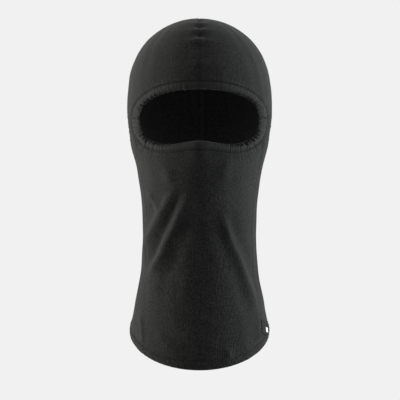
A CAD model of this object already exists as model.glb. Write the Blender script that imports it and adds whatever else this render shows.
import math

import bpy
import numpy as np
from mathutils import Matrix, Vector


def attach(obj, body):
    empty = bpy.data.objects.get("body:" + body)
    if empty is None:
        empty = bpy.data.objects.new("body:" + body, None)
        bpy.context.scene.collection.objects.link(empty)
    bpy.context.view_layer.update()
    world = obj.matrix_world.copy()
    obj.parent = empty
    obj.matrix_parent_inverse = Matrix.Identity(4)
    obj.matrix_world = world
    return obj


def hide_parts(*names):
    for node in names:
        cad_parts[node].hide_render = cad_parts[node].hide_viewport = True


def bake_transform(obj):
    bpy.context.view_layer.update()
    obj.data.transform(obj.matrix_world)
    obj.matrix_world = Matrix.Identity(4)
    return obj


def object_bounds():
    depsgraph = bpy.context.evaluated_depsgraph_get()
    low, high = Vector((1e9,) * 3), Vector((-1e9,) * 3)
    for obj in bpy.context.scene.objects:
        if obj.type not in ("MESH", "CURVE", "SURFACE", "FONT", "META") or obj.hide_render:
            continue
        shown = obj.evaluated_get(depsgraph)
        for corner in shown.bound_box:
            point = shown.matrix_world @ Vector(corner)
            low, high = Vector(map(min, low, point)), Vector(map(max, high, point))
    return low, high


bl_info = {
    "name": "Knit Balaclava",
    "version": (1, 0, 0),
    "blender": (4, 5, 0),
    "location": "3D View > Sidebar > Balaclava",
    "description": "Builds a stretch-fleece ski hood with a gathered eye opening around its frame",
    "category": "Object",
}

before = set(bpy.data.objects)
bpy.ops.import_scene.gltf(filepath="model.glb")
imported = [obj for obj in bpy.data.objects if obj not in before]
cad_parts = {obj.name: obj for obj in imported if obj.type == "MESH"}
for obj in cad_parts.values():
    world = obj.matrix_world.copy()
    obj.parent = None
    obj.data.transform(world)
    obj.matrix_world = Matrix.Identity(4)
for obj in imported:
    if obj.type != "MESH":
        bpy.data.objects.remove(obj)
CAD_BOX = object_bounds()
MM = 0.001

OPENING_ROUNDNESS = (2.3, 2.9)   # exponents of the eye opening's upper and lower curve; 2 is an ellipse
NEEDLE_RADIUS = 0.26             # thread sizes in mm, coarser than real so that they show
LOOPER_RADIUS = 0.24
LOOPER_SIDES = 5
TACK_RADIUS = 0.22
HEM_CLEARANCE = 2.0              # the inner seam ridges end this far above the turned-up hem (mm)
FLOOR_DROP = 350.0               # the floor lies this far under the hood (mm)
FLOOR_HALF_WIDTH = 1300.0

# The worn form, in millimetres: height, half width, reach to the front, reach to the back.
LEVELS = (
    (-292.0, 76.0, 91.0, 80.0),     # under the hem
    (-240.0, 75.5, 90.5, 79.0),     # bib
    (-205.0, 70.2, 84.0, 74.0),     # shoulder slope
    (-165.0, 63.2, 78.0, 66.0),     # base of the neck
    (-128.0, 61.1, 82.0, 62.0),     # neck
    (-95.0, 62.3, 93.0, 68.0),      # throat and chin
    (-60.0, 67.0, 102.0, 82.0),     # mouth
    (-28.0, 74.8, 105.0, 97.0),     # nose
    (10.0, 78.5, 98.0, 104.0),      # eyes
    (40.0, 76.0, 95.0, 101.0),      # brow
    (62.0, 69.3, 86.5, 92.0),       # forehead
    (80.0, 57.6, 72.0, 77.0),       # side of the crown
    (92.0, 44.0, 55.0, 59.0),       # slope of the crown
    (100.0, 28.5, 36.0, 38.0),      # edge of the crown
    (104.0, 14.0, 18.0, 19.0),      # cap of the crown
)
CROWN_HEIGHT = 105.3
HEAD_CENTRE = np.array((0.0, 1.0, 0.0))

# The side seams seen from the front: half width and height, from the eye corner to the hem.
SIDE_SEAM = ((69.5, -4.0), (66.5, -40.0), (58.5, -80.0), (55.5, -120.0), (57.0, -160.0),
             (62.5, -205.0), (64.8, -240.0), (64.8, -300.0))

# Drape ridges on the front, each a polyline (half width, height), then rise and half breadth.
FRONT_FOLDS = (
    (((-26.0, -80.0), (-45.0, -114.0), (-60.0, -146.0)), 3.3, 5.0),
    (((-13.0, -90.0), (-29.0, -124.0), (-42.0, -154.0), (-55.0, -176.0)), 3.4, 4.8),
    (((-55.0, -82.0), (-42.0, -102.0)), 1.6, 3.2),
    (((24.0, -106.0), (33.0, -136.0), (42.6, -158.0), (53.0, -186.0), (62.0, -213.0)), 2.5, 4.2),
    (((62.0, -213.0), (64.5, -240.0)), 1.4, 3.6),
    (((-62.0, -214.0), (-60.0, -243.0)), 1.1, 2.4),
    (((-36.0, -146.0), (-45.0, -172.0), (-52.0, -196.0)), 1.5, 7.5),
    (((-19.0, -230.0), (0.0, -238.0), (20.0, -243.0)), 1.5, 6.5),
    (((29.0, -246.0), (31.0, -259.0)), 1.3, 4.0),
    (((-44.0, -230.0), (-30.0, -246.0)), 1.0, 5.0),
    (((31.0, -46.0), (25.0, -70.0)), 1.4, 6.5),
    (((-33.0, -58.0), (-30.0, -74.0)), 1.6, 6.0),
    (((-20.0, -196.0), (-10.0, -168.0)), 1.0, 7.0),
)
# Hollows between those ridges.
FRONT_HOLLOWS = (
    (((-20.0, -86.0), (-38.0, -122.0), (-53.0, -158.0)), -2.2, 4.0),
    (((-4.0, -100.0), (-23.0, -146.0), (-38.0, -180.0)), -1.6, 6.5),
    (((-46.0, -86.0), (-56.0, -118.0)), -1.0, 5.0),
    (((34.0, -112.0), (50.0, -150.0), (62.0, -184.0)), -1.2, 5.0),
    (((16.0, -112.0), (30.0, -156.0), (48.0, -205.0)), -1.3, 6.5),
)
# Puckers along the seam over the brow: height, then how far they rise or sink, reach sideways.
BROW_PUCKERS = (
    (100.5, -0.9, 5.0), (97.0, 0.8, 10.0), (92.5, -1.5, 5.0), (88.0, 1.0, 12.0),
    (83.0, -2.1, 5.5), (75.8, 1.7, 15.0), (69.0, -1.3, 5.0), (60.0, 0.6, 9.0),
    (51.0, 1.2, 13.0), (44.0, -0.8, 6.0),
)


# ---- sizes and colours a user would change ---------------------------------------------------

class ClothSizes(bpy.types.PropertyGroup):
    """How thick the cloth is and how deep it folds"""
    knit: bpy.props.FloatProperty(name="Knit", description="Thickness of the panels",
                                  default=0.0012, unit="LENGTH")
    fold_depth: bpy.props.FloatProperty(name="Fold depth", default=1.0, min=0.0, max=2.0,
                                        description="How strongly the drape folds show",
                                        subtype="FACTOR")
    gather_depth: bpy.props.FloatProperty(name="Gather depth", default=0.00095, unit="LENGTH",
                                          description="Depth of the gathers at the rim's sides")
    gather_pitch: bpy.props.FloatProperty(name="Gather pitch", default=0.0026, unit="LENGTH",
                                          description="Distance from one gather to the next")
    stitch_pitch: bpy.props.FloatProperty(name="Stitch pitch", default=0.0030, unit="LENGTH",
                                          description="Length of one stitch with its gap")


class OpeningSizes(bpy.types.PropertyGroup):
    """The eye opening and its rim"""
    half_width: bpy.props.FloatProperty(name="Half width", default=0.064, unit="LENGTH",
                                        description="From the middle to an eye corner")
    middle: bpy.props.FloatProperty(name="Middle", default=-0.004, unit="LENGTH",
                                    description="Height of the eye corners")
    rise: bpy.props.FloatProperty(name="Rise", default=0.0285, unit="LENGTH",
                                  description="From the corners up to the brow edge")
    drop: bpy.props.FloatProperty(name="Drop", default=0.032, unit="LENGTH",
                                  description="From the corners down to the lower edge")
    nose_lift: bpy.props.FloatProperty(name="Nose lift", default=0.0065, unit="LENGTH",
                                       description="How far the nose lifts the lower edge")
    nose_width: bpy.props.FloatProperty(name="Nose width", default=0.027, unit="LENGTH",
                                        description="Half breadth of that lift")
    binding: bpy.props.FloatProperty(name="Binding", default=0.008, unit="LENGTH",
                                     description="Width of the rim binding, seen from the front")


class HemSizes(bpy.types.PropertyGroup):
    """The sloping hem"""
    side_height: bpy.props.FloatProperty(name="Side height", default=-0.228, unit="LENGTH",
                                         description="Height of the hem at the sides")
    tilt: bpy.props.FloatProperty(name="Tilt", default=math.radians(24.3), subtype="ANGLE",
                                  unit="ROTATION", description="How far it dips to the front")
    depth: bpy.props.FloatProperty(name="Depth", default=0.009, unit="LENGTH",
                                   description="Depth of the facing inside")
    stitch_line: bpy.props.FloatProperty(name="Stitch line", default=0.008, unit="LENGTH",
                                         description="From the edge to the stitch row")


def colour_property(name, description, hex_code):
    return bpy.props.StringProperty(name=name, description=description, default=hex_code)


class HoodColours(bpy.types.PropertyGroup):
    """Colours as sRGB hex values"""
    knit: colour_property("Knit", "Black stretch fleece", "#101010")
    knit_nap: colour_property("Knit nap", "Tips of the brushed fibres", "#262626")
    binding: colour_property("Binding", "Black rib binding", "#232323")
    thread: colour_property("Thread", "Black polyester thread", "#0e0e0f")
    ribbon: colour_property("Label", "Black woven ribbon", "#0b0b0c")
    ribbon_mark: colour_property("Label mark", "Pale block woven into it", "#d2d2ce")
    satin: colour_property("Care label", "White satin ribbon", "#dcdcd6")
    satin_print: colour_property("Care print", "Grey bars on the care label", "#5a5c60")
    backdrop: colour_property("Backdrop", "Even light behind the hood", "#f1f1f1")
    floor: colour_property("Floor", "Pale studio paper", "#c4c4c4")


# ---- the worn form ---------------------------------------------------------------------------

def smooth_step(value, low, high):
    share = np.clip((value - low) / (high - low), 0.0, 1.0)
    return share * share * (3.0 - 2.0 * share)


def through_points(places, values, wanted):
    """A curve through the given points that never overshoots them (monotone cubic)."""
    span = np.diff(places)
    slope = np.diff(values) / span
    inner = np.where(slope[1:] * slope[:-1] > 0,
                     2.0 * slope[1:] * slope[:-1] / (slope[1:] + slope[:-1] + 1e-12), 0.0)
    tangent = np.concatenate((slope[:1], inner, slope[-1:]))
    index = np.clip(np.searchsorted(places, wanted) - 1, 0, len(span) - 1)
    step = span[index]
    t = (wanted - places[index]) / step
    return ((1 + 2 * t) * (1 - t) ** 2 * values[index] + t * (1 - t) ** 2 * step * tangent[index]
            + t * t * (3 - 2 * t) * values[index + 1]
            + t * t * (t - 1) * step * tangent[index + 1])


def crown_way(height):
    """Square root of the depth below the crown: in it the dome's radii run out evenly to nothing."""
    return np.sqrt(np.maximum(CROWN_HEIGHT - height, 0.0))


LEVEL_TABLE = np.array(LEVELS + ((CROWN_HEIGHT, 0.0, -1.0, 1.0),))[::-1]
LEVEL_WAY = crown_way(LEVEL_TABLE[:, 0])


def section(height):
    """Half width, middle (along Y) and half depth of the form at a height, in millimetres."""
    way = crown_way(height)
    half_width, front, back = (through_points(LEVEL_WAY, LEVEL_TABLE[:, i], way)
                               for i in (1, 2, 3))
    return half_width, (back - front) / 2.0, (back + front) / 2.0


def front_point(x, z):
    """The point of the form's front with this x and z."""
    half_width, middle, half_depth = section(z)
    across = np.clip(1.0 - (x / half_width) ** 2, 0.0, 1.0)
    return np.stack((x, middle - half_depth * np.sqrt(across), z), axis=-1)


def onto_form(points):
    """Move points straight out from the head's centre, or from the neck's axis, to the form."""
    height = points[..., 2]
    start = np.zeros_like(points)
    _, middle, _ = section(np.minimum(height, 0.0))
    start[..., 1] = np.where(height > 0, HEAD_CENTRE[1], middle)
    start[..., 2] = np.minimum(height, 0.0)
    ray = points - start
    ray /= np.linalg.norm(ray, axis=-1, keepdims=True) + 1e-12
    low = np.zeros(points.shape[:-1])
    high = np.full(points.shape[:-1], 130.0)
    for _ in range(36):
        mid = (low + high) / 2.0
        trial = start + ray * mid[..., None]
        half_width, centre, half_depth = section(trial[..., 2])
        inside = ((trial[..., 0] / np.maximum(half_width, 1e-6)) ** 2
                  + ((trial[..., 1] - centre) / np.maximum(half_depth, 1e-6)) ** 2) < 1.0
        inside &= trial[..., 2] < CROWN_HEIGHT
        low = np.where(inside, mid, low)
        high = np.where(inside, high, mid)
    return start + ray * low[..., None]


def form_normal(points):
    """Outward normals of the form, from the slope of its sections."""
    step = 0.05

    def outside(height):
        half_width, middle, half_depth = section(height)
        half_width = np.maximum(half_width, 1e-3)
        return ((points[..., 0] ** 2) * half_depth / half_width
                + (points[..., 1] - middle) ** 2 * half_width / half_depth
                - half_width * half_depth)

    height = np.minimum(points[..., 2], CROWN_HEIGHT - 2 * step)
    half_width, middle, half_depth = section(height)
    normal = np.stack((2 * points[..., 0] * half_depth / half_width,
                       2 * (points[..., 1] - middle) * half_width / half_depth,
                       (outside(height + step) - outside(height - step)) / (2 * step)), axis=-1)
    return normal / (np.linalg.norm(normal, axis=-1, keepdims=True) + 1e-12)


def evenly(points, count):
    """Points at even distances along a line of points."""
    length = np.concatenate(((0.0,), np.cumsum(np.linalg.norm(np.diff(points, axis=0), axis=1))))
    wanted = np.linspace(0.0, length[-1], count)
    return np.stack([np.interp(wanted, length, points[:, i]) for i in range(3)], axis=-1)


# ---- the hood's lines ------------------------------------------------------------------------

def opening_line(angle, spread):
    """The eye opening's outline `spread` outside its clear edge, as points on the form (mm)."""
    sizes = bpy.context.scene.balaclava_opening
    half_width, middle, rise, drop, lift, breadth = (value / MM for value in (
        sizes.half_width, sizes.middle, sizes.rise, sizes.drop, sizes.nose_lift,
        sizes.nose_width))

    def clear_edge(turn):
        cosine, sine = np.cos(turn), np.sin(turn)
        bulge = np.where(sine >= 0, *OPENING_ROUNDNESS)
        reach = np.where(sine >= 0, rise, drop)
        x = half_width * np.sign(cosine) * np.abs(cosine) ** (2 / bulge)
        z = middle + reach * np.sign(sine) * np.abs(sine) ** (2 / bulge)
        z += np.where(sine < 0, lift * np.exp(-(x / breadth) ** 2)
                      * np.minimum(1.0, -2 * sine), 0.0)
        return x, z

    step = 0.02
    x, z = clear_edge(angle)
    x_next, z_next = clear_edge(angle + step)
    x_last, z_last = clear_edge(angle - step)
    run_x, run_z = x_next - x_last, z_next - z_last
    length = np.hypot(run_x, run_z) + 1e-9
    return front_point(x + spread * run_z / length, z - spread * run_x / length)


def even_opening(first, last, count, spread):
    """The outline from one angle to another, at even distances."""
    return evenly(opening_line(np.linspace(first, last, 1200), spread), count)


def side_seam(side, count):
    """A side seam from the hem up to the eye corner."""
    corners = np.array(SIDE_SEAM)[::-1]
    height = np.linspace(-290.0, SIDE_SEAM[0][1], 900)
    x = through_points(corners[:, 1], corners[:, 0], height)
    line = front_point(side * x, height)
    return evenly(line[above_hem(line) >= 0.0], count)


def above_hem(points):
    """How far points lie above the hem's plane, in millimetres."""
    hem = bpy.context.scene.balaclava_hem
    return ((points[..., 2] - hem.side_height / MM) * math.cos(hem.tilt)
            - points[..., 1] * math.sin(hem.tilt))


def round_form(angle, height_above_hem):
    """Points round the form at one distance above the hem; angle 0 is the front."""
    hem = bpy.context.scene.balaclava_hem
    z = np.full_like(angle, hem.side_height / MM)
    for _ in range(30):
        half_width, middle, half_depth = section(z)
        y = middle - half_depth * np.cos(angle)
        z = hem.side_height / MM + (height_above_hem + y * math.sin(hem.tilt)) / math.cos(hem.tilt)
    return np.stack((half_width * np.sin(angle), y, z), axis=-1)


def centre_line(count, lowest, brow_spread):
    """The centre seam: up the back from `lowest` above the hem, over the crown, to the brow."""
    foot = round_form(np.array((math.pi,)), lowest)[0]
    brow = opening_line(np.array((math.pi / 2,)), brow_spread)[0]
    way_back = np.linspace(crown_way(foot[2]), 0.0, 500)
    way_front = np.linspace(0.0, crown_way(brow[2]), 500)[1:]
    back_z, front_z = CROWN_HEIGHT - way_back ** 2, CROWN_HEIGHT - way_front ** 2
    _, middle, depth = section(back_z)
    back = np.stack((np.zeros_like(back_z), middle + depth, back_z), axis=-1)
    _, middle, depth = section(front_z)
    front = np.stack((np.zeros_like(front_z), middle - depth, front_z), axis=-1)
    return evenly(np.concatenate((back, front)), count)


def patch(left, right, low, top):
    """Fill four border lines: left and right run upwards, low and top run from left to right.
    The bends of low and top die out fast, so the grid never folds over its side borders."""
    v = np.linspace(0.0, 1.0, len(left))[:, None, None]
    u = np.linspace(0.0, 1.0, len(low))[None, :, None]
    across = (1 - u) * left[:, None] + u * right[:, None]
    low_bend = low[None] - (1 - u) * low[0] - u * low[-1]
    top_bend = top[None] - (1 - u) * top[0] - u * top[-1]
    return across + low_bend * (1 - v) ** 3 + top_bend * v ** 5


# ---- relief: folds, puckers, gathers ---------------------------------------------------------

def off_line(points, line):
    """Distance in front view from a polyline, and how far along it the nearest place lies."""
    best = np.full(points.shape[:-1], 1e9)
    place = np.zeros(points.shape[:-1])
    corners = np.array(line)
    runs = np.diff(corners, axis=0)
    total = np.sum(np.linalg.norm(runs, axis=1))
    done = 0.0
    flat = points[..., (0, 2)]
    for start, run in zip(corners[:-1], runs):
        length = np.linalg.norm(run)
        share = np.clip(((flat - start) @ run) / length ** 2, 0.0, 1.0)
        gap = np.linalg.norm(flat - start - share[..., None] * run, axis=-1)
        nearer = gap < best
        best = np.where(nearer, gap, best)
        place = np.where(nearer, (done + share * length) / total, place)
        done += length
    return best, place


def waves(values, pitch, seed):
    """Uneven waves about `pitch` long, from -1 to 1, the same on every run."""
    rng = np.random.default_rng(seed)
    total = np.zeros_like(values)
    for share, strength in ((1.0, 0.6), (0.73, 0.35), (1.61, 0.25)):
        phase = rng.uniform(0.0, 2 * math.pi)
        total += strength * np.sin(2 * math.pi * values / (pitch * share) + phase)
    return total


def front_relief(points):
    """Drape folds of the front and the soft form of nose and mouth under the cloth."""
    depth = np.zeros(points.shape[:-1])
    for line, rise, breadth in FRONT_FOLDS + FRONT_HOLLOWS:
        gap, place = off_line(points, line)
        fade = smooth_step(place, -0.02, 0.22) * smooth_step(1.02 - place, 0.0, 0.22)
        depth += rise * (0.25 + 0.75 * fade) * np.exp(-(gap / breadth) ** 2)
    x, z = points[..., 0], points[..., 2]
    depth += 4.5 * np.exp(-(x / 12.0) ** 2 - ((z + 38.0) / 17.0) ** 2)
    depth += 1.6 * np.exp(-(x / 24.0) ** 2 - ((z + 88.0) / 12.0) ** 2)
    depth -= 1.6 * np.exp(-(x / 30.0) ** 2 - ((z + 116.0) / 12.0) ** 2)
    return depth * bpy.context.scene.balaclava_cloth.fold_depth


def seam_relief(gap, along, seed):
    """A sewn seam: a narrow valley with small puckers on both sides of it."""
    pucker = waves(along, 8.5, seed) * 0.32 * np.exp(-(gap / 5.0) ** 2)
    return -0.75 * np.exp(-(gap / 1.1) ** 2) + 0.22 * np.exp(-((gap - 2.6) / 1.6) ** 2) + pucker


def centre_relief(points):
    """The seam over brow, crown and back, with its deeper puckers over the brow."""
    x, y, z = points[..., 0], points[..., 1], points[..., 2]
    along = np.where(y < 0, 180.0 - z, z)
    front = smooth_step(-y, -4.0, 10.0)
    depth = seam_relief(np.abs(x), along, 11) * (1.0 - 0.55 * front)
    for height, rise, reach in BROW_PUCKERS:
        band = 1.7 + 0.045 * (CROWN_HEIGHT - height)
        depth += front * rise * np.exp(-(x / reach) ** 2 - ((z - height) / band) ** 2)
    return depth


def back_relief(points):
    """Soft cross folds where the hood bends in at the nape, and long ones down to the hem."""
    x, y, z = points[..., 0], points[..., 1], points[..., 2]
    back = smooth_step(y, 0.0, 45.0)
    depth = np.zeros_like(x)
    for height, rise, slope, seed in ((-92.0, 1.7, 0.10, 3), (-112.0, 2.2, -0.06, 4),
                                      (-131.0, 1.9, 0.05, 5), (-152.0, 1.3, -0.09, 6)):
        line = height + slope * x + 2.5 * waves(x, 60.0, seed)
        depth += rise * np.exp(-((z - line) / 5.0) ** 2) * np.exp(-((x - slope * 90) / 42.0) ** 2)
    sides = smooth_step(np.abs(x), 20.0, 50.0) * smooth_step(-z, 120.0, 180.0)
    depth += 0.9 * sides * waves(np.degrees(np.arctan2(x, y)), 26.0, 8)
    return depth * back * bpy.context.scene.balaclava_cloth.fold_depth


def gather_strength(angle):
    """How strongly the elastic gathers the rim: most at the eye corners, none at brow and nose."""
    corner = np.abs(np.cos(angle)) ** 1.5
    lower_left = 0.9 * np.exp(-((np.mod(angle, 2 * math.pi) - math.radians(322)) / 0.42) ** 2)
    lower_right = 0.45 * np.exp(-((np.mod(angle, 2 * math.pi) - math.radians(218)) / 0.32) ** 2)
    return np.clip(corner * 0.8 + lower_left + lower_right, 0.0, 1.0) + 0.06


def rim_relief(points):
    """Pleats that fan out from the rim, and the pressed line where the binding is sewn on."""
    opening = bpy.context.scene.balaclava_opening
    cloth = bpy.context.scene.balaclava_cloth
    x, y, z = points[..., 0], points[..., 1], points[..., 2]
    angle = np.linspace(0.0, 2 * math.pi, 721)
    edge = opening_line(angle, opening.binding / MM)
    length = np.concatenate(((0.0,), np.cumsum(np.linalg.norm(np.diff(edge, axis=0), axis=1))))
    depth = np.zeros_like(x)
    near = (y < 0) & (np.abs(z - opening.middle / MM) < 62.0)
    if not near.any():
        return depth
    flat = points[near][:, (0, 2)]
    gap = np.linalg.norm(flat[:, None] - edge[None, :-1, (0, 2)], axis=-1)
    nearest = np.argmin(gap, axis=1)
    gap = gap[np.arange(len(flat)), nearest]
    strength = gather_strength(angle[nearest])
    pleat = waves(length[nearest], cloth.gather_pitch / MM * 1.9, 21)
    valley = -0.8 * np.exp(-((gap - 0.3) / 0.8) ** 2) + 0.5 * np.exp(-((gap - 2.4) / 1.3) ** 2)
    depth[near] = (pleat * strength * 0.75 * np.exp(-gap / 6.5)
                   * (1.0 - 0.5 * np.exp(-gap / 0.8)) + valley)
    return depth


def hem_relief(points):
    """The hem's stitch row pulls a valley, and the doubled edge below it stands out a little."""
    hem = bpy.context.scene.balaclava_hem
    rise = above_hem(points)
    line = hem.stitch_line / MM
    around = np.degrees(np.arctan2(points[..., 0], -points[..., 1]))
    rope = 0.25 * waves(around * 1.4 + rise * 0.9, 7.0, 31) * np.exp(-((rise - 4.0) / 4.5) ** 2)
    return (-0.75 * np.exp(-((rise - line) / 0.9) ** 2)
            + 0.55 * smooth_step(line - rise, 0.0, 2.0) - 0.5 * smooth_step(1.2 - rise, 0.0, 1.2)
            + rope)


def side_seam_relief(points):
    """The valley and puckers of both side seams."""
    corners = np.array(SIDE_SEAM)[::-1]
    x, y, z = points[..., 0], points[..., 1], points[..., 2]
    seam = through_points(corners[:, 1], corners[:, 0], np.clip(z, -300.0, SIDE_SEAM[0][1]))
    below = smooth_step(-z, 14.0, 30.0) * (y < 0)
    gap = np.abs(np.abs(x) - seam) * 2.1
    return 0.35 * below * seam_relief(gap, z + np.where(x > 0, 0.0, 500.0), 17)


def relief(points):
    x, y, z = points[..., 0], points[..., 1], points[..., 2]
    front = smooth_step(-y, 8.0, 34.0)
    depth = front_relief(points) * front * smooth_step(-z, 22.0, 34.0)
    depth += centre_relief(points) * np.where((y > 0) | (z > 20.0), 1.0, 0.0)
    depth += back_relief(points) + rim_relief(points) + hem_relief(points)
    depth += side_seam_relief(points)
    around = np.degrees(np.arctan2(x, -y))
    depth += 0.16 * waves(around + 0.12 * z, 17.0, 41) + 0.16 * waves(z + 0.3 * around, 38.0, 42)
    return depth


def displaced(points, lift=0.0):
    """Points of the form with the cloth's relief, `lift` millimetres outside the cloth."""
    normal = form_normal(points)
    return points + normal * (relief(points) + lift)[..., None]


# ---- meshes ----------------------------------------------------------------------------------

def mesh_object(name, points, faces, corners=None):
    """An object from points in millimetres; corners are face-corner coordinates in metres."""
    mesh = bpy.data.meshes.new(name)
    mesh.from_pydata((np.asarray(points).reshape(-1, 3) * MM).tolist(), [], faces)
    if corners is not None:
        layer = mesh.uv_layers.new(name="cut")
        vertex = np.zeros(len(mesh.loops), dtype=np.int32)
        mesh.loops.foreach_get("vertex_index", vertex)
        layer.data.foreach_set("uv", np.asarray(corners)[vertex].astype(np.float32).ravel())
    mesh.polygons.foreach_set("use_smooth", [True] * len(mesh.polygons))
    mesh.update()
    mesh.set_sharp_from_angle(angle=math.radians(55.0))
    obj = bpy.data.objects.new(name, mesh)
    bpy.context.scene.collection.objects.link(obj)
    return obj


def grid_faces(rows, columns, start=0, flip=False, closed=False):
    faces = []
    last = columns if closed else columns - 1
    for i in range(rows - 1):
        for j in range(last):
            k = (j + 1) % columns
            a, b = start + i * columns + j, start + i * columns + k
            c, d = b + columns, a + columns
            faces.append((a, d, c, b) if flip else (a, b, c, d))
    return faces


def cloth_over(name, plan, thickness, lift=0.0):
    """A closed piece of cloth over a grid of points of the form, `lift` millimetres outside it:
    two faces and four narrow edges."""
    rows, columns = plan.shape[:2]
    normal = form_normal(plan)
    outer = plan + normal * (relief(plan) + lift)[..., None]
    inner = outer - normal * thickness
    faces = grid_faces(rows, columns) + grid_faces(rows, columns, rows * columns, flip=True)
    rim = ([(0, j) for j in range(columns)] + [(i, columns - 1) for i in range(1, rows)]
           + [(rows - 1, j) for j in range(columns - 2, -1, -1)]
           + [(i, 0) for i in range(rows - 2, 0, -1)])
    ring = [i * columns + j for i, j in rim]
    back = rows * columns
    for a, b in zip(ring, ring[1:] + ring[:1]):
        faces.append((b, a, a + back, b + back))
    step_u = np.linalg.norm(np.diff(outer, axis=1), axis=-1).mean(axis=0)
    step_v = np.linalg.norm(np.diff(outer, axis=0), axis=-1).mean(axis=1)
    u = np.concatenate(((0.0,), np.cumsum(step_u))) * MM
    v = np.concatenate(((0.0,), np.cumsum(step_v))) * MM
    cut = np.stack(np.broadcast_arrays(u[None, :], v[:, None]), axis=-1).reshape(-1, 2)
    return mesh_object(name, np.concatenate((outer.reshape(-1, 3), inner.reshape(-1, 3))),
                       faces, np.concatenate((cut, cut)))


def tube_along(path, radius, sides):
    """A round thread along a path (mm)."""
    forward = np.gradient(path, axis=0)
    forward /= np.linalg.norm(forward, axis=-1, keepdims=True) + 1e-12
    outward = form_normal(path)
    side = np.cross(forward, outward)
    side /= np.linalg.norm(side, axis=-1, keepdims=True) + 1e-12
    upright = np.cross(side, forward)
    turn = np.linspace(0, 2 * math.pi, sides, endpoint=False)
    ring = (np.cos(turn)[None, :, None] * side[:, None] + np.sin(turn)[None, :, None]
            * upright[:, None])
    points = path[:, None] + ring * radius
    faces = grid_faces(len(path), sides, closed=True)
    faces.append(tuple(range(sides - 1, -1, -1)))
    faces.append(tuple(range((len(path) - 1) * sides, len(path) * sides)))
    return points.reshape(-1, 3), faces


def thread_object(name, paths, radius, sides=6):
    """One object of several separate threads."""
    points, faces, start = [], [], 0
    for path in paths:
        more, rings = tube_along(path, radius, sides)
        points.append(more)
        faces += [tuple(index + start for index in face) for face in rings]
        start += len(more)
    return mesh_object(name, np.concatenate(points), faces)


def stitch_paths(line, lift, arch_height):
    """Short stitches along a line of the form, `lift` above the cloth: each arches up and dives
    back in."""
    cloth = bpy.context.scene.balaclava_cloth
    pitch = cloth.stitch_pitch / MM
    length = np.sum(np.linalg.norm(np.diff(line, axis=0), axis=1))
    count = max(2, int(length / pitch))
    fine = evenly(line, count * 8 + 1)
    normal = form_normal(fine)
    fine = displaced(fine, lift)
    arch = (np.sin(np.linspace(0.0, math.pi, 7)) ** 0.6 - 0.7) * arch_height
    return [fine[i * 8:i * 8 + 7] + normal[i * 8:i * 8 + 7] * arch[:, None]
            for i in range(count)]


# ---- materials -------------------------------------------------------------------------------

def linear(hex_code):
    """An sRGB hex value as a linear RGBA colour."""
    parts = [int(hex_code[i:i + 2], 16) / 255.0 for i in (1, 3, 5)]
    return tuple(p / 12.92 if p <= 0.04045 else ((p + 0.055) / 1.055) ** 2.4
                 for p in parts) + (1.0,)


def add_node(tree, kind, settings=(), links=()):
    """Add one node; settings are attributes or input values, links are (input, output socket)."""
    node = tree.nodes.new(kind)
    for key, value in dict(settings).items():
        if isinstance(key, str) and hasattr(node, key):
            setattr(node, key, value)
        else:
            node.inputs[key].default_value = value
    for key, socket in dict(links).items():
        tree.links.new(socket, node.inputs[key])
    return node


def new_material(name):
    """An empty material and its node tree."""
    material = bpy.data.materials.new(name)
    material.use_nodes = True
    material.node_tree.nodes.clear()
    return material, material.node_tree


def finish_material(tree, settings, links):
    shader = add_node(tree, "ShaderNodeBsdfPrincipled", settings, links)
    add_node(tree, "ShaderNodeOutputMaterial", links={"Surface": shader.outputs["BSDF"]})


def ramp(tree, factor, low, high, low_colour, high_colour):
    node = add_node(tree, "ShaderNodeValToRGB", links={"Fac": factor})
    node.color_ramp.elements[0].position = low
    node.color_ramp.elements[0].color = low_colour
    node.color_ramp.elements[1].position = high
    node.color_ramp.elements[1].color = high_colour
    return node.outputs["Color"]


def per_metre(millimetres):
    """Texture scale that makes one repeat this many millimetres long."""
    return 1.0 / (millimetres * MM)


def bands(millimetres):
    """Scale of a wave texture that makes one of its bands this many millimetres wide."""
    return per_metre(millimetres) / 6.283


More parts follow.
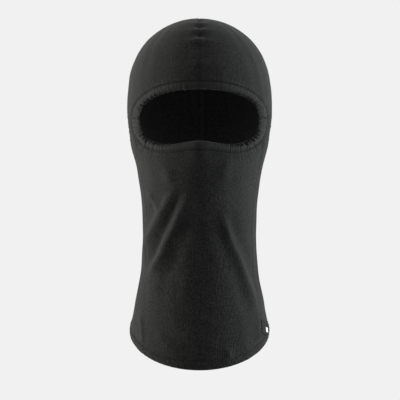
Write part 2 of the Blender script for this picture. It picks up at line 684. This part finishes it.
def brushed_fleece_knit():
    """Polyester stretch fleece, knitted and brushed: the raised nap scatters light at the edges
    of the form and leaves its middle deep and dull. Loops are 0.9 mm wide; the nap's tufts are
    drawn 2 mm wide, coarser than real, so that they show."""
    colours = bpy.context.scene.balaclava_colours
    material, tree = new_material("brushed_fleece_knit")
    cut = add_node(tree, "ShaderNodeUVMap", {"uv_map": "cut"}).outputs["UV"]
    place = add_node(tree, "ShaderNodeTexCoord").outputs["Object"]
    wales = add_node(tree, "ShaderNodeTexWave", {
        "wave_type": "BANDS", "bands_direction": "X", "Scale": bands(0.9),
        "Distortion": 1.6, "Detail": 2.0, "Detail Scale": 1.4}, {"Vector": cut})
    tufts = add_node(tree, "ShaderNodeTexNoise", {
        "Scale": per_metre(2.0), "Detail": 4.0, "Roughness": 0.62}, {"Vector": place})
    patches = add_node(tree, "ShaderNodeTexNoise", {
        "Scale": per_metre(26.0), "Detail": 2.0, "Roughness": 0.5}, {"Vector": place})
    lint = add_node(tree, "ShaderNodeTexNoise", {
        "Scale": per_metre(0.8), "Detail": 1.0, "Roughness": 0.5}, {"Vector": place})
    tone = ramp(tree, tufts.outputs["Fac"], 0.36, 0.66, linear(colours.knit),
                linear(colours.knit_nap))
    wear = add_node(tree, "ShaderNodeMix", {"data_type": "RGBA", "blend_type": "MULTIPLY",
                                            "Factor": 0.35},
                    {"A": tone, "B": ramp(tree, patches.outputs["Fac"], 0.3, 0.7,
                                          (0.72, 0.72, 0.72, 1.0), (1.0, 1.0, 1.0, 1.0))})
    tuft_bump = add_node(tree, "ShaderNodeBump", {"Strength": 0.85, "Distance": 0.0008},
                         {"Height": tufts.outputs["Fac"]})
    wale_bump = add_node(tree, "ShaderNodeBump", {"Strength": 0.5, "Distance": 0.0004},
                         {"Height": wales.outputs["Fac"], "Normal": tuft_bump.outputs["Normal"]})
    lint_bump = add_node(tree, "ShaderNodeBump", {"Strength": 0.30, "Distance": 0.0002},
                         {"Height": lint.outputs["Fac"], "Normal": wale_bump.outputs["Normal"]})
    rough = add_node(tree, "ShaderNodeMapRange", {"From Min": 0.3, "From Max": 0.7,
                                                  "To Min": 0.86, "To Max": 0.98},
                     {"Value": tufts.outputs["Fac"]})
    finish_material(tree, {"IOR": 1.45, "Specular IOR Level": 0.10, "Sheen Weight": 0.10,
                           "Sheen Roughness": 0.35, "Sheen Tint": (0.95, 0.97, 0.95, 1.0)},
                    {"Base Color": wear.outputs["Result"], "Normal": lint_bump.outputs["Normal"],
                     "Roughness": rough.outputs["Result"]})
    return material


def rib_knit_binding():
    """Elastane rib knit, cut as a strip and folded: smoother and a little shinier than the
    brushed cloth, with fine ribs 1.1 mm apart across the strip."""
    colours = bpy.context.scene.balaclava_colours
    material, tree = new_material("rib_knit_binding")
    cut = add_node(tree, "ShaderNodeUVMap", {"uv_map": "cut"}).outputs["UV"]
    ribs = add_node(tree, "ShaderNodeTexWave", {
        "wave_type": "BANDS", "bands_direction": "X", "Scale": bands(1.1),
        "Distortion": 0.7, "Detail": 1.0}, {"Vector": cut})
    fibres = add_node(tree, "ShaderNodeTexNoise", {
        "Scale": per_metre(0.9), "Detail": 3.0}, {"Vector": cut})
    tone = ramp(tree, fibres.outputs["Fac"], 0.3, 0.75, linear(colours.knit),
                linear(colours.binding))
    rib_bump = add_node(tree, "ShaderNodeBump", {"Strength": 0.35, "Distance": 0.0003},
                        {"Height": ribs.outputs["Fac"]})
    bump = add_node(tree, "ShaderNodeBump", {"Strength": 0.3, "Distance": 0.0002},
                    {"Height": fibres.outputs["Fac"], "Normal": rib_bump.outputs["Normal"]})
    finish_material(tree, {"IOR": 1.45, "Specular IOR Level": 0.12, "Sheen Weight": 0.09,
                           "Roughness": 0.78, "Sheen Roughness": 0.35,
                           "Sheen Tint": (0.95, 0.97, 0.95, 1.0)},
                    {"Base Color": tone, "Normal": bump.outputs["Normal"]})
    return material


def spun_polyester_thread():
    """Spun polyester sewing thread: twisted plies give small slanting glints."""
    colours = bpy.context.scene.balaclava_colours
    material, tree = new_material("spun_polyester_thread")
    place = add_node(tree, "ShaderNodeTexCoord").outputs["Object"]
    twist = add_node(tree, "ShaderNodeTexWave", {
        "wave_type": "BANDS", "bands_direction": "DIAGONAL", "Scale": bands(0.7),
        "Distortion": 0.5}, {"Vector": place})
    tone = ramp(tree, twist.outputs["Fac"], 0.2, 0.9, linear(colours.thread),
                linear(colours.binding))
    bump = add_node(tree, "ShaderNodeBump", {"Strength": 0.5, "Distance": 0.0001},
                    {"Height": twist.outputs["Fac"]})
    finish_material(tree, {"Roughness": 0.6, "IOR": 1.5, "Specular IOR Level": 0.12},
                    {"Base Color": tone, "Normal": bump.outputs["Normal"]})
    return material


def woven_elastic():
    """Rubber-cored elastic, woven flat: ribbed across, dull."""
    colours = bpy.context.scene.balaclava_colours
    material, tree = new_material("woven_elastic")
    cut = add_node(tree, "ShaderNodeUVMap", {"uv_map": "cut"}).outputs["UV"]
    ribs = add_node(tree, "ShaderNodeTexWave", {
        "wave_type": "BANDS", "bands_direction": "X", "Scale": bands(1.0)},
        {"Vector": cut})
    tone = ramp(tree, ribs.outputs["Fac"], 0.1, 0.9, linear(colours.thread),
                linear(colours.knit_nap))
    bump = add_node(tree, "ShaderNodeBump", {"Strength": 0.6, "Distance": 0.0003},
                    {"Height": ribs.outputs["Fac"]})
    finish_material(tree, {"Roughness": 0.8, "IOR": 1.52, "Specular IOR Level": 0.3},
                    {"Base Color": tone, "Normal": bump.outputs["Normal"]})
    return material


def damask_ribbon():
    """Damask label ribbon, woven of fine polyester: dense and satiny, with a pale plain block
    woven in on a black ground. Weft threads are drawn 0.5 mm apart."""
    colours = bpy.context.scene.balaclava_colours
    material, tree = new_material("damask_ribbon")
    cut = add_node(tree, "ShaderNodeUVMap", {"uv_map": "cut"}).outputs["UV"]
    split = add_node(tree, "ShaderNodeSeparateXYZ", links={"Vector": cut})
    inside = None
    for axis, low, high in (("X", 0.0108, 0.0160), ("Y", 0.0032, 0.0082)):
        for edge, kind in ((low, "GREATER_THAN"), (high, "LESS_THAN")):
            test = add_node(tree, "ShaderNodeMath", {"operation": kind, 1: edge},
                            {0: split.outputs[axis]}).outputs["Value"]
            inside = test if inside is None else add_node(
                tree, "ShaderNodeMath", {"operation": "MULTIPLY"},
                {0: inside, 1: test}).outputs["Value"]
    tone = ramp(tree, inside, 0.45, 0.55, linear(colours.ribbon), linear(colours.ribbon_mark))
    weft = add_node(tree, "ShaderNodeTexWave", {
        "wave_type": "BANDS", "bands_direction": "Y", "Scale": bands(0.5)},
        {"Vector": cut})
    bump = add_node(tree, "ShaderNodeBump", {"Strength": 0.4, "Distance": 0.0001},
                    {"Height": weft.outputs["Fac"]})
    finish_material(tree, {"Roughness": 0.75, "IOR": 1.5, "Specular IOR Level": 0.12},
                    {"Base Color": tone, "Normal": bump.outputs["Normal"]})
    return material


def printed_satin_ribbon():
    """White satin ribbon with plain grey printed bars: soft sheen along its floats."""
    colours = bpy.context.scene.balaclava_colours
    material, tree = new_material("printed_satin_ribbon")
    cut = add_node(tree, "ShaderNodeUVMap", {"uv_map": "cut"}).outputs["UV"]
    split = add_node(tree, "ShaderNodeSeparateXYZ", links={"Vector": cut})
    rows = add_node(tree, "ShaderNodeMath", {"operation": "PINGPONG", 1: 0.0022},
                    {0: split.outputs["Y"]}).outputs["Value"]
    bar = add_node(tree, "ShaderNodeMath", {"operation": "LESS_THAN", 1: 0.0006}, {0: rows})
    start = add_node(tree, "ShaderNodeMath", {"operation": "GREATER_THAN", 1: 0.005},
                     {0: split.outputs["X"]})
    stop = add_node(tree, "ShaderNodeMath", {"operation": "LESS_THAN", 1: 0.024},
                    {0: split.outputs["X"]})
    span = add_node(tree, "ShaderNodeMath", {"operation": "MULTIPLY"},
                    {0: start.outputs["Value"], 1: stop.outputs["Value"]})
    printed = add_node(tree, "ShaderNodeMath", {"operation": "MULTIPLY"},
                       {0: bar.outputs["Value"], 1: span.outputs["Value"]})
    tone = ramp(tree, printed.outputs["Value"], 0.4, 0.6, linear(colours.satin),
                linear(colours.satin_print))
    floats = add_node(tree, "ShaderNodeTexWave", {
        "wave_type": "BANDS", "bands_direction": "X", "Scale": bands(0.6)},
        {"Vector": cut})
    bump = add_node(tree, "ShaderNodeBump", {"Strength": 0.2, "Distance": 0.0001},
                    {"Height": floats.outputs["Fac"]})
    finish_material(tree, {"Roughness": 0.36, "IOR": 1.5, "Sheen Weight": 0.2},
                    {"Base Color": tone, "Normal": bump.outputs["Normal"]})
    return material


def studio_paper():
    """Matte seamless paper with a faint mottle."""
    colours = bpy.context.scene.balaclava_colours
    material, tree = new_material("studio_paper")
    place = add_node(tree, "ShaderNodeTexCoord").outputs["Object"]
    mottle = add_node(tree, "ShaderNodeTexNoise", {"Scale": per_metre(40.0)}, {"Vector": place})
    pale = linear(colours.floor)
    tone = ramp(tree, mottle.outputs["Fac"], 0.2, 0.8, tuple(c * 0.985 for c in pale[:3]) + (1.0,),
                pale)
    finish_material(tree, {"Roughness": 0.9, "Specular IOR Level": 0.1}, {"Base Color": tone})
    return material


def material_named(name):
    """The named finish, made once."""
    makers = {maker.__name__: maker for maker in (
        brushed_fleece_knit, rib_knit_binding, spun_polyester_thread, woven_elastic,
        damask_ribbon, printed_satin_ribbon, studio_paper)}
    return bpy.data.materials.get(name) or makers[name]()


SLOT_FINISH = {"knit_fleece": "brushed_fleece_knit", "binding_knit": "rib_knit_binding",
               "black_thread": "spun_polyester_thread", "black_elastic": "woven_elastic",
               "label_weave": "damask_ribbon", "care_satin": "printed_satin_ribbon"}


def dress(obj, slot_name, node):
    """Give a piece its finish and say which CAD node it stands for."""
    obj.data.materials.append(material_named(SLOT_FINISH[slot_name]))
    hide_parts(node)
    return obj


# ---- how the lower edge takes the cloth with it ----------------------------------------------


def follow_pull(obj):
    """Blend a finished piece from the hood to the lower edge, by its share of the pull."""
    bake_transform(obj)
    points = np.zeros(len(obj.data.vertices) * 3)
    obj.data.vertices.foreach_get("co", points)


# ---- panels ----------------------------------------------------------------------------------

CLOTH_EDGE = 5.5       # the panels end this far outside the clear opening, inside the binding


class BALACLAVA_OT_front_panel(bpy.types.Operator):
    """Mask, chin and bib: one panel under the eye opening"""
    bl_idname = "balaclava.front_panel"
    bl_label = "Front Panel"

    def execute(self, context):
        rows, columns = 210, 200
        corner = 2 * math.pi
        top = even_opening(math.pi, corner, columns, CLOTH_EDGE)
        right, left = side_seam(-1, rows), side_seam(1, rows)
        ends = [math.atan2(line[0, 0], -(line[0, 1] - section(line[0, 2])[1])
                           * section(line[0, 2])[0] / section(line[0, 2])[2])
                for line in (right, left)]
        low = evenly(round_form(np.linspace(ends[0], ends[1], 900), 0.0), columns)
        plan = patch(right, left, low, top)
        cloth = cloth_over("front_panel_cloth", front_point(plan[..., 0], plan[..., 2]),
                           context.scene.balaclava_cloth.knit / MM)
        dress(cloth, "knit_fleece", "front_panel")
        follow_pull(cloth)
        return {"FINISHED"}


class BALACLAVA_OT_hood_panels(bpy.types.Operator):
    """The hood's left and right halves, from brow to nape"""
    bl_idname = "balaclava.hood_panels"
    bl_label = "Hood Panels"

    def execute(self, context):
        rows, columns = 250, 160
        for word, side in (("left", 1), ("right", -1)):
            centre = centre_line(rows, 0.0, CLOTH_EDGE)
            seam = side_seam(side, rows)
            foot = seam[0]
            half_width, middle, half_depth = section(foot[2])
            end = math.atan2(side * foot[0] / half_width, -(foot[1] - middle) / half_depth)
            low = evenly(round_form(side * np.linspace(math.pi, end, 900), 0.0), columns)
            corner = 0.0 if side > 0 else math.pi
            top = even_opening(math.pi / 2, corner, columns, CLOTH_EDGE)
            plan = onto_form(patch(centre, seam, low, top))
            if side > 0:
                plan = plan[:, ::-1]
            cloth = cloth_over(word + "_panel_cloth", plan,
                               context.scene.balaclava_cloth.knit / MM)
            dress(cloth, "knit_fleece", word + "_panel")
            follow_pull(cloth)
        return {"FINISHED"}


# ---- rim -------------------------------------------------------------------------------------

# One binding strip folded over the panels' edge, in section: spread from the clear opening,
# then depth below the cloth's outer face (mm), from the outer leg's raw end round to the inner.
BINDING_SECTION = (
    (8.0, -0.05), (7.95, -0.45), (7.6, -0.78), (7.2, -0.55), (6.8, -0.5), (6.2, -0.85),
    (5.0, -1.12), (3.6, -1.16), (2.4, -1.05), (1.4, -0.8), (0.6, -0.35), (0.1, 0.25), (0.0, 0.8),
    (0.25, 1.45), (0.9, 2.0), (1.8, 2.3), (4.0, 2.4), (6.0, 2.4), (8.0, 2.4), (8.0, 1.65),
    (5.0, 1.62), (2.0, 1.55), (1.35, 1.0), (1.3, 0.3), (1.8, -0.2), (4.0, -0.3), (6.5, -0.12))


def rim_gather(length, angle, spread, depth):
    """Gathers of the rim: folds across it, deepest at its roll, dying out at the stitching."""
    cloth = bpy.context.scene.balaclava_cloth
    size, pitch = cloth.gather_depth / MM, cloth.gather_pitch / MM
    strength = gather_strength(angle)
    fold = waves(length + 0.5 * np.sin(spread * 0.7), pitch, 51)
    fold = np.sign(fold) * np.abs(fold) ** 0.8
    rolled = np.where(depth < 0.5, 1.0 - 0.8 * smooth_step(spread, 0.8, 5.5), 0.4)
    pleat = 1.1 * np.exp(-((angle - math.radians(101)) / 0.012) ** 2)
    pleat -= 0.9 * np.exp(-((angle - math.radians(103.2)) / 0.012) ** 2)
    return size * rolled * (fold * strength + 0.10 * waves(length, 11.0, 52)) + pleat * rolled * 0.6


def swept_rim(name, first, last, count, outline, gathers=1.0):
    """A strip with the given section swept along the opening's outline."""
    middle = even_opening(first, last, count, 4.0)
    length = np.concatenate(((0.0,), np.cumsum(np.linalg.norm(np.diff(middle, axis=0), axis=1))))
    fine = np.linspace(first, last, 2400)
    fine_line = opening_line(fine, 4.0)
    fine_length = np.concatenate(((0.0,), np.cumsum(
        np.linalg.norm(np.diff(fine_line, axis=0), axis=1))))
    angle = np.interp(length, fine_length, fine)
    rows = []
    around = np.cumsum([0.0] + [math.dist(a, b) for a, b in zip(outline, outline[1:])])
    for spread, depth in outline:
        fold = gathers * rim_gather(length, angle, spread, depth)
        edge = opening_line(angle, spread - 1.5 * fold * (1.0 - smooth_step(spread, 0.5, 4.0)))
        rows.append(displaced(edge, fold - depth))
    grid = np.stack(rows, axis=1)
    faces = grid_faces(count, len(outline), closed=True)
    faces.append(tuple(range(len(outline) - 1, -1, -1)))
    faces.append(tuple(range((count - 1) * len(outline), count * len(outline))))
    cut = np.stack(np.broadcast_arrays(length[:, None] * MM, around[None] * MM), axis=-1)
    return mesh_object(name, grid, faces, cut.reshape(-1, 2))


class BALACLAVA_OT_bindings(bpy.types.Operator):
    """The two binding strips that are folded over the eye opening's edge"""
    bl_idname = "balaclava.bindings"
    bl_label = "Eye Opening Bindings"

    def execute(self, context):
        for name, node, first, last in (
                ("brow_binding_strip", "brow_binding", 0.0, math.pi),
                ("lower_face_binding_strip", "lower_face_binding", math.pi, 2 * math.pi)):
            strip = swept_rim(name, first, last, 420, BINDING_SECTION)
            dress(strip, "binding_knit", node)
            if node == "brow_binding":
                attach(strip, "root")
            else:
                follow_pull(strip)
        return {"FINISHED"}


class BALACLAVA_OT_face_elastic(bpy.types.Operator):
    """The flat elastic inside the two bindings, which draws them up at the sides"""
    bl_idname = "balaclava.face_elastic"
    bl_label = "Face Elastic"

    def execute(self, context):
        outline = ((1.9, 0.1), (1.9, 1.0), (3.3, 1.15), (4.8, 1.0), (4.8, 0.1), (3.3, 0.0))
        band = swept_rim("face_elastic_band", 0.0, 2 * math.pi, 520, outline, gathers=0.35)
        dress(band, "black_elastic", "face_elastic")
        follow_pull(band)
        return {"FINISHED"}


class BALACLAVA_OT_rim_stitching(bpy.types.Operator):
    """The needle rows that hold both bindings, stitch by stitch"""
    bl_idname = "balaclava.rim_stitching"
    bl_label = "Rim Stitching"

    def execute(self, context):
        for name, node, first, last in (
                ("brow_binding_stitches", "brow_binding_stitching", 0.03, math.pi - 0.03),
                ("lower_binding_stitches", "lower_binding_stitching", math.pi + 0.03,
                 2 * math.pi - 0.03)):
            line = even_opening(first, last, 1400, 6.9)
            rows = thread_object(name, stitch_paths(line, 0.85, 0.42), NEEDLE_RADIUS)
            dress(rows, "black_thread", node)
            if node == "brow_binding_stitching":
                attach(rows, "root")
            else:
                follow_pull(rows)
        return {"FINISHED"}


class BALACLAVA_OT_corner_tacks(bpy.types.Operator):
    """A bar tack over each eye corner, where the two bindings meet"""
    bl_idname = "balaclava.corner_tacks"
    bl_label = "Corner Tacks"

    def execute(self, context):
        for word, side in (("left", 1), ("right", -1)):
            x = np.linspace(64.8, 70.2, 40)
            level = context.scene.balaclava_opening.middle / MM
            z = level + 0.9 * np.where(np.arange(40) % 2 == 0, 1.0, -1.0)
            corners = front_point(side * x, z)
            path = evenly(corners, 400)
            path = displaced(path, 1.45)
            tack = thread_object(word + "_corner_tack_stitches", [path], TACK_RADIUS)
            dress(tack, "black_thread", word + "_corner_tack")
            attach(tack, "root")
        return {"FINISHED"}


# ---- seams and hem, inside -------------------------------------------------------------------

def overlock(name, node, line, inward, width, shift):
    """A seam's raw edges laid to one side inside, with looper threads over them. `line` runs along
    the seam, `inward` is the way along the cloth in which the edges lie."""
    path = displaced(line, -1.55)
    forward = np.gradient(path, axis=0)
    forward /= np.linalg.norm(forward, axis=-1, keepdims=True) + 1e-12
    normal = form_normal(line)
    side = np.cross(normal, forward)
    side *= np.sign(np.sum(side * inward, axis=-1, keepdims=True))
    outline = np.array(((0.15, 0.0), (0.15, 1.0), (0.6, 1.5), (3.0, 1.6), (5.4, 1.45), (5.9, 0.9),
                        (5.9, 0.35), (5.4, 0.0)))
    outline[:, 0] *= width / 6.0
    outline[:, 0] += shift
    waviness = 1.0 + 0.05 * waves(np.arange(len(path)) * 1.0, 9.0, 61)[:, None]
    grid = np.stack([path + side * (across * waviness) - normal * down for across, down in outline],
                    axis=1)
    points, faces = [grid.reshape(-1, 3)], grid_faces(len(path), len(outline), closed=True)
    faces.append(tuple(range(len(outline) - 1, -1, -1)))
    faces.append(tuple(range((len(path) - 1) * len(outline), len(path) * len(outline))))
    start = len(points[0])
    length = np.concatenate(((0.0,), np.cumsum(np.linalg.norm(np.diff(path, axis=0), axis=1))))
    turns = int(length[-1] / 2.2)
    turn = np.linspace(0.0, turns, turns * 10 + 1)
    where = turn / turns * length[-1]
    sweep = 0.5 - 0.5 * np.cos(2 * math.pi * turn)
    base, out, aside = (np.stack([np.interp(where, length, part[:, i]) for i in range(3)], axis=-1)
                        for part in (path, normal, side))
    across = shift + (0.5 + 5.2 * sweep) * width / 6.0
    looper = base + aside * across[:, None] - out * 1.75
    more, rings = tube_along(looper, LOOPER_RADIUS, LOOPER_SIDES)
    points.append(more)
    faces += [tuple(index + start for index in ring) for ring in rings]
    ridge = mesh_object(name, np.concatenate(points), faces)
    dress(ridge, "black_thread", node)
    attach(ridge, "root")


class BALACLAVA_OT_seam_allowances(bpy.types.Operator):
    """The overlocked edges of the centre seam and both side seams, inside the hood"""
    bl_idname = "balaclava.seam_allowances"
    bl_label = "Overlocked Seams"

    def execute(self, context):
        hem = context.scene.balaclava_hem
        centre = centre_line(460, (hem.depth + HEM_CLEARANCE * MM) / MM, 9.0)
        overlock("crown_seam_overlocking", "crown_seam_overlock", centre,
                 np.array((1.0, 0.0, 0.0)), 6.0, 0.1)
        for word, side in (("left", 1), ("right", -1)):
            line = side_seam(side, 260)
            line = line[(above_hem(line) > hem.depth / MM + HEM_CLEARANCE) & (line[:, 2] < -24.0)]
            overlock(word + "_side_seam_overlocking", word + "_side_seam_overlock", line,
                     np.array((side * 0.4, 1.0, 0.0)), 4.0, 0.1)
        return {"FINISHED"}


class BALACLAVA_OT_hem(bpy.types.Operator):
    """The turned-up facing inside the hem, its needle row outside and its looper cover inside"""
    bl_idname = "balaclava.hem"
    bl_label = "Hem"

    def execute(self, context):
        hem = context.scene.balaclava_hem
        knit = context.scene.balaclava_cloth.knit / MM
        turn = np.linspace(-math.pi, math.pi, 440)
        rises = np.linspace(0.15, hem.depth / MM, 9)
        plan = np.stack([round_form(turn, rise) for rise in rises])
        facing = cloth_over("hem_facing_cloth", plan, knit, -knit - 0.15)
        dress(facing, "knit_fleece", "hem_facing")
        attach(facing, "root")

        line = evenly(round_form(turn, hem.stitch_line / MM), 3000)
        needle = thread_object("hem_needle_stitches", stitch_paths(line, 0.0, 0.5), NEEDLE_RADIUS)
        dress(needle, "black_thread", "hem_needle_stitching")
        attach(needle, "root")

        zigs = np.linspace(0.0, 1.0, 2600)
        rise = hem.depth / MM - 1.5 + 1.4 * np.sin(zigs * 2 * math.pi * 210)
        cover = displaced(round_form(-math.pi + zigs * 2 * math.pi, rise), -2 * knit - 0.35)
        looper = thread_object("hem_looper_cover", [cover], LOOPER_RADIUS, LOOPER_SIDES)
        dress(looper, "black_thread", "hem_looper_stitching")
        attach(looper, "root")
        return {"FINISHED"}


# ---- labels ----------------------------------------------------------------------------------

# Each label hangs on a fold line, from its low end to its top end (mm); `lay` is the way the
# ribbon leaves the seam, in degrees from the wearer's left.
SIDE_LABEL = {"low": (66.0, -48.45, -232.2), "top": (64.9, -44.15, -217.8), "lay": 63.5,
              "length": 14.6}
CARE_LABEL = {"low": (52.6, -34.6, -196.0), "top": (52.6, -34.6, -162.0), "lay": 84.0,
              "length": 28.0}
LABEL_GAP = 0.5


def ribbon_from(label, turn, start, length, plies, name, curl=0.0, rounded_end=False):
    """A woven ribbon that stands on its fold line; plies are (offset, thickness) across it."""
    low, top = np.array(label["low"]), np.array(label["top"])
    height = np.linalg.norm(top - low)
    up = (top - low) / height
    lay = math.radians(label["lay"])
    out = np.array((math.cos(lay), math.sin(lay), 0.0))
    out -= up * (out @ up)
    out /= np.linalg.norm(out)
    across = np.cross(up, out)
    turned = math.radians(turn)
    out, across = (out * math.cos(turned) + across * math.sin(turned),
                   across * math.cos(turned) - out * math.sin(turned))
    steps, rows = 28, 30
    along = np.linspace(start, start + length, steps)
    upwards = np.linspace(0.0, height, rows)
    points, faces, cut = [], [], []
    for offset, thickness in plies:
        begin = sum(len(p) for p in points)
        share = (along - start) / length
        bow = curl * share ** 2 * (1.0 + 0.15 * np.sin(np.linspace(0, 3, rows)))[:, None]
        close = 1.0 - (0.55 * smooth_step(share, 0.9, 1.0) if rounded_end else 0.0)
        base = (low + up * upwards[:, None, None] + out * along[None, :, None]
                + across * (bow + offset * close)[..., None])
        for sign in (1, -1):
            face = base + across * (sign * thickness / 2)
            points.append(face.reshape(-1, 3))
            cut.append(np.stack(np.broadcast_arrays(along[None] * MM, upwards[:, None] * MM),
                                axis=-1).reshape(-1, 2))
        faces += grid_faces(rows, steps, begin, flip=True)
        faces += grid_faces(rows, steps, begin + rows * steps)
        rim = ([(0, j) for j in range(steps)] + [(i, steps - 1) for i in range(1, rows)]
               + [(rows - 1, j) for j in range(steps - 2, -1, -1)]
               + [(i, 0) for i in range(rows - 2, 0, -1)])
        ring = [begin + i * steps + j for i, j in rim]
        for a, b in zip(ring, ring[1:] + ring[:1]):
            faces.append((a, b, b + rows * steps, a + rows * steps))
    return mesh_object(name, np.concatenate(points), faces, np.concatenate(cut))


class BALACLAVA_OT_side_label(bpy.types.Operator):
    """The folded woven flag in the left side seam, with its held end and its bar tack"""
    bl_idname = "balaclava.side_label"
    bl_label = "Side Label"

    def execute(self, context):
        flag = ribbon_from(SIDE_LABEL, 0.0, LABEL_GAP, SIDE_LABEL["length"],
                           ((0.22, 0.40), (-0.22, 0.40)), "side_label_flag", rounded_end=True)
        dress(flag, "label_weave", "side_label")
        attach(flag, "side_flag")
        tail = ribbon_from(SIDE_LABEL, 90.0, LABEL_GAP, 5.5, ((0.0, 0.85),), "side_label_held_end")
        dress(tail, "label_weave", "side_label_tail")
        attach(tail, "root")

        low, top = np.array(SIDE_LABEL["low"]), np.array(SIDE_LABEL["top"])
        share = np.linspace(0.03, 0.97, 60)
        seam = low + (top - low) * share[:, None]
        seam = displaced(front_point(seam[:, 0], seam[:, 2]), 0.25)
        swing = 0.7 * np.where(np.arange(60) % 2 == 0, 1.0, -1.0)
        seam[:, 1] += swing
        tack = thread_object("side_label_tack_stitches", [evenly(seam, 420)], TACK_RADIUS)
        dress(tack, "black_thread", "side_label_tack")
        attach(tack, "root")
        return {"FINISHED"}


class BALACLAVA_OT_care_label(bpy.types.Operator):
    """The printed satin ribbon inside, caught in the left side seam"""
    bl_idname = "balaclava.care_label"
    bl_label = "Care Label"

    def execute(self, context):
        ribbon = ribbon_from(CARE_LABEL, 0.0, LABEL_GAP, CARE_LABEL["length"],
                             ((0.0, 0.35),), "care_label_ribbon", curl=1.2)
        dress(ribbon, "care_satin", "care_label")
        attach(ribbon, "care_flag")
        tail = ribbon_from(CARE_LABEL, -106.0, LABEL_GAP, 3.0, ((0.0, 0.35),),
                           "care_label_held_end")
        dress(tail, "care_satin", "care_label_tail")
        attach(tail, "root")
        return {"FINISHED"}


# ---- stage -----------------------------------------------------------------------------------

class BALACLAVA_OT_stage(bpy.types.Operator):
    """Pale floor, soft lights and the camera in front of the face"""
    bl_idname = "balaclava.stage"
    bl_label = "Stage"

    def execute(self, context):
        scene = context.scene
        floor_height = CAD_BOX[0][2] / MM - FLOOR_DROP
        size = FLOOR_HALF_WIDTH
        corners = [(-size, -size, floor_height), (size, -size, floor_height),
                   (size, size, floor_height), (-size, size, floor_height)]
        floor = mesh_object("studio_floor", corners, [(0, 1, 2, 3)])
        floor.data.materials.append(material_named("studio_paper"))

        # A pale backdrop behind the hood; the side that the face looks at is dimmer, which
        # leaves the middle of the black cloth deep.
        world = bpy.data.worlds.new("pale_backdrop")
        world.use_nodes = True
        tree = world.node_tree
        background = tree.nodes["Background"]
        background.inputs["Color"].default_value = linear(scene.balaclava_colours.backdrop)
        way = add_node(tree, "ShaderNodeTexCoord").outputs["Generated"]
        split = add_node(tree, "ShaderNodeSeparateXYZ", links={"Vector": way})
        strength = add_node(tree, "ShaderNodeMapRange", {
            "interpolation_type": "SMOOTHSTEP", "From Min": -0.5, "From Max": 0.8,
            "To Min": 0.30, "To Max": 1.0}, {"Value": split.outputs["Y"]})
        tree.links.new(strength.outputs["Result"], background.inputs["Strength"])
        scene.world = world
        scene.view_settings.view_transform = "Standard"
        scene.view_settings.look = "None"

        middle = Vector((0.0, 0.0, -0.08))
        for name, place, power, width, tint in (
                ("left_softbox", (1.6, 0.1, 0.1), 56.0, 1.2, (0.94, 0.98, 1.0)),
                ("right_softbox", (-1.6, 0.1, 0.1), 60.0, 1.2, (1.0, 0.99, 0.93)),
                ("top_softbox", (0.0, -0.4, 1.6), 10.0, 0.9, (1.0, 1.0, 1.0))):
            data = bpy.data.lights.new(name, "AREA")
            data.energy = power
            data.color = tint
            data.size = width
            lamp = bpy.data.objects.new(name, data)
            lamp.location = place
            lamp.rotation_euler = (middle - Vector(place)).to_track_quat("-Z", "Y").to_euler()
            scene.collection.objects.link(lamp)

        data = bpy.data.lights.new("fill_inside_the_hood", "POINT")
        data.energy = 0.11
        data.shadow_soft_size = 0.03
        lamp = bpy.data.objects.new("fill_inside_the_hood", data)
        lamp.location = (0.0, 0.0, -0.03)
        scene.collection.objects.link(lamp)

        data = bpy.data.cameras.new("front_camera")
        distance, frame_width = 2.5, 0.4332
        data.sensor_width = 36.0
        data.lens = data.sensor_width * distance / frame_width
        camera = bpy.data.objects.new("front_camera", data)
        camera.location = (0.0005, -distance, -0.091)
        camera.rotation_euler = (math.pi / 2, 0.0, 0.0)
        scene.collection.objects.link(camera)
        scene.camera = camera
        return {"FINISHED"}


# ---- panel in the sidebar, and the run -------------------------------------------------------

OPERATORS = (BALACLAVA_OT_front_panel, BALACLAVA_OT_hood_panels, BALACLAVA_OT_bindings,
             BALACLAVA_OT_face_elastic, BALACLAVA_OT_rim_stitching, BALACLAVA_OT_corner_tacks,
             BALACLAVA_OT_seam_allowances, BALACLAVA_OT_hem, BALACLAVA_OT_side_label,
             BALACLAVA_OT_care_label, BALACLAVA_OT_stage)
GROUPS = {"balaclava_cloth": ClothSizes, "balaclava_opening": OpeningSizes,
          "balaclava_hem": HemSizes, "balaclava_colours": HoodColours}


class BALACLAVA_PT_sidebar(bpy.types.Panel):
    """Lists the hood's sizes, colours and parts"""
    bl_idname = "BALACLAVA_PT_sidebar"
    bl_label = "Knit Balaclava"
    bl_space_type = "VIEW_3D"
    bl_region_type = "UI"
    bl_category = "Balaclava"

    def draw(self, context):
        for attribute, group in GROUPS.items():
            box = self.layout.box()
            for name in group.__annotations__:
                box.prop(getattr(context.scene, attribute), name)
        for operator in OPERATORS:
            self.layout.operator(operator.bl_idname)


def register():
    for group in GROUPS.values():
        bpy.utils.register_class(group)
    for attribute, group in GROUPS.items():
        setattr(bpy.types.Scene, attribute, bpy.props.PointerProperty(type=group))
    for shown in OPERATORS + (BALACLAVA_PT_sidebar,):
        bpy.utils.register_class(shown)


def unregister():
    for shown in (BALACLAVA_PT_sidebar,) + OPERATORS:
        bpy.utils.unregister_class(shown)
    for attribute in GROUPS:
        delattr(bpy.types.Scene, attribute)
    for group in GROUPS.values():
        bpy.utils.unregister_class(group)


def main():
    register()
    for operator in OPERATORS:
        group, name = operator.bl_idname.split(".")
        getattr(getattr(bpy.ops, group), name)()


if __name__ == "__main__":
    main()
